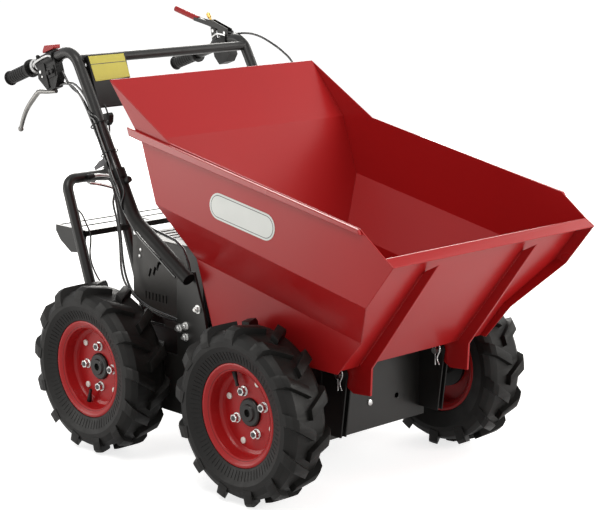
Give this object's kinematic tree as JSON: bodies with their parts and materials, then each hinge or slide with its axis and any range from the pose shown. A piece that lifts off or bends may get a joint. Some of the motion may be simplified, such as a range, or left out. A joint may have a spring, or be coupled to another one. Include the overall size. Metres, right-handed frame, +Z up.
{
  "type": "site dumper",
  "caption": "Walk-behind tipping site dumper: red sheet skip hinged at the front of a black chassis on lugged tyres, with a tube handle and engine cover behind.",
  "frame": {"origin": "On the floor under the middle of the machine", "axes": "+X forward toward the tipping lip, +Y to the machine's left, +Z up"},
  "size_m": [1.407, 0.77, 1.0259],
  "materials": {
    "black_paint": "satin black powder coat",
    "black_plastic": "satin black moulding",
    "cable_black": "black sheath",
    "cast_metal": "rough cast",
    "grey_paint": "dark grey satin powder coat",
    "red_paint": "gloss red powder coat",
    "tyre": "matt moulded rubber",
    "zinc": "bright zinc plate"
  },
  "bodies": {
    "chassis": {"chassis_frame": "black_paint", "pivot_posts": "black_paint", "pivot_pins": "zinc", "front_axle": "cast_metal", "rear_axle": "cast_metal", "gearbox": "cast_metal", "engine_block": "cast_metal", "recoil_starter": "black_plastic", "fuel_tank": "black_plastic", "muffler": "zinc", "cover_sides": "grey_paint", "cover_top": "grey_paint", "cover_liners": "black_paint", "handle_sleeves": "black_paint", "handlebar": "black_paint", "grips": "black_plastic", "switch_boxes": "black_plastic", "hand_levers": "zinc", "red_lever": "red_paint", "stop_switch": "red_paint", "console": "black_plastic", "gear_levers": "black_plastic", "rear_hoop": "black_paint", "rear_shelf": "black_paint", "cables": "cable_black"},
    "wheel_front_right": {"tyre_front_right": "tyre", "rim_front_right": "red_paint", "hub_front_right": "black_paint"},
    "wheel_front_left": {"tyre_front_left": "tyre", "rim_front_left": "red_paint", "hub_front_left": "black_paint"},
    "wheel_rear_right": {"tyre_rear_right": "tyre", "rim_rear_right": "red_paint", "hub_rear_right": "black_paint"},
    "wheel_rear_left": {"tyre_rear_left": "tyre", "rim_rear_left": "red_paint", "hub_rear_left": "black_paint"},
    "skip": {"skip_rear": "red_paint", "skip_side_right": "red_paint", "skip_side_left": "red_paint", "skip_front": "red_paint", "skip_floor": "red_paint", "skip_ribs": "red_paint", "skip_rims": "red_paint"}
  },
  "joints": [
    {"name": "skip_tip", "type": "hinge", "parent": "chassis", "child": "skip", "pos_m": [0.3945, 0, 0.286], "axis": [0, 1, 0], "range_deg": [0, 70]},
    {"name": "wheel_front_right_spin", "type": "hinge", "parent": "chassis", "child": "wheel_front_right", "pos_m": [0.2695, -0.326, 0.205], "axis": [0, 1, 0], "continuous": true},
    {"name": "wheel_front_left_spin", "type": "hinge", "parent": "chassis", "child": "wheel_front_left", "pos_m": [0.2695, 0.326, 0.205], "axis": [0, 1, 0], "continuous": true},
    {"name": "wheel_rear_right_spin", "type": "hinge", "parent": "chassis", "child": "wheel_rear_right", "pos_m": [-0.2765, -0.326, 0.205], "axis": [0, 1, 0], "continuous": true},
    {"name": "wheel_rear_left_spin", "type": "hinge", "parent": "chassis", "child": "wheel_rear_left", "pos_m": [-0.2765, 0.326, 0.205], "axis": [0, 1, 0], "continuous": true}
  ]
}
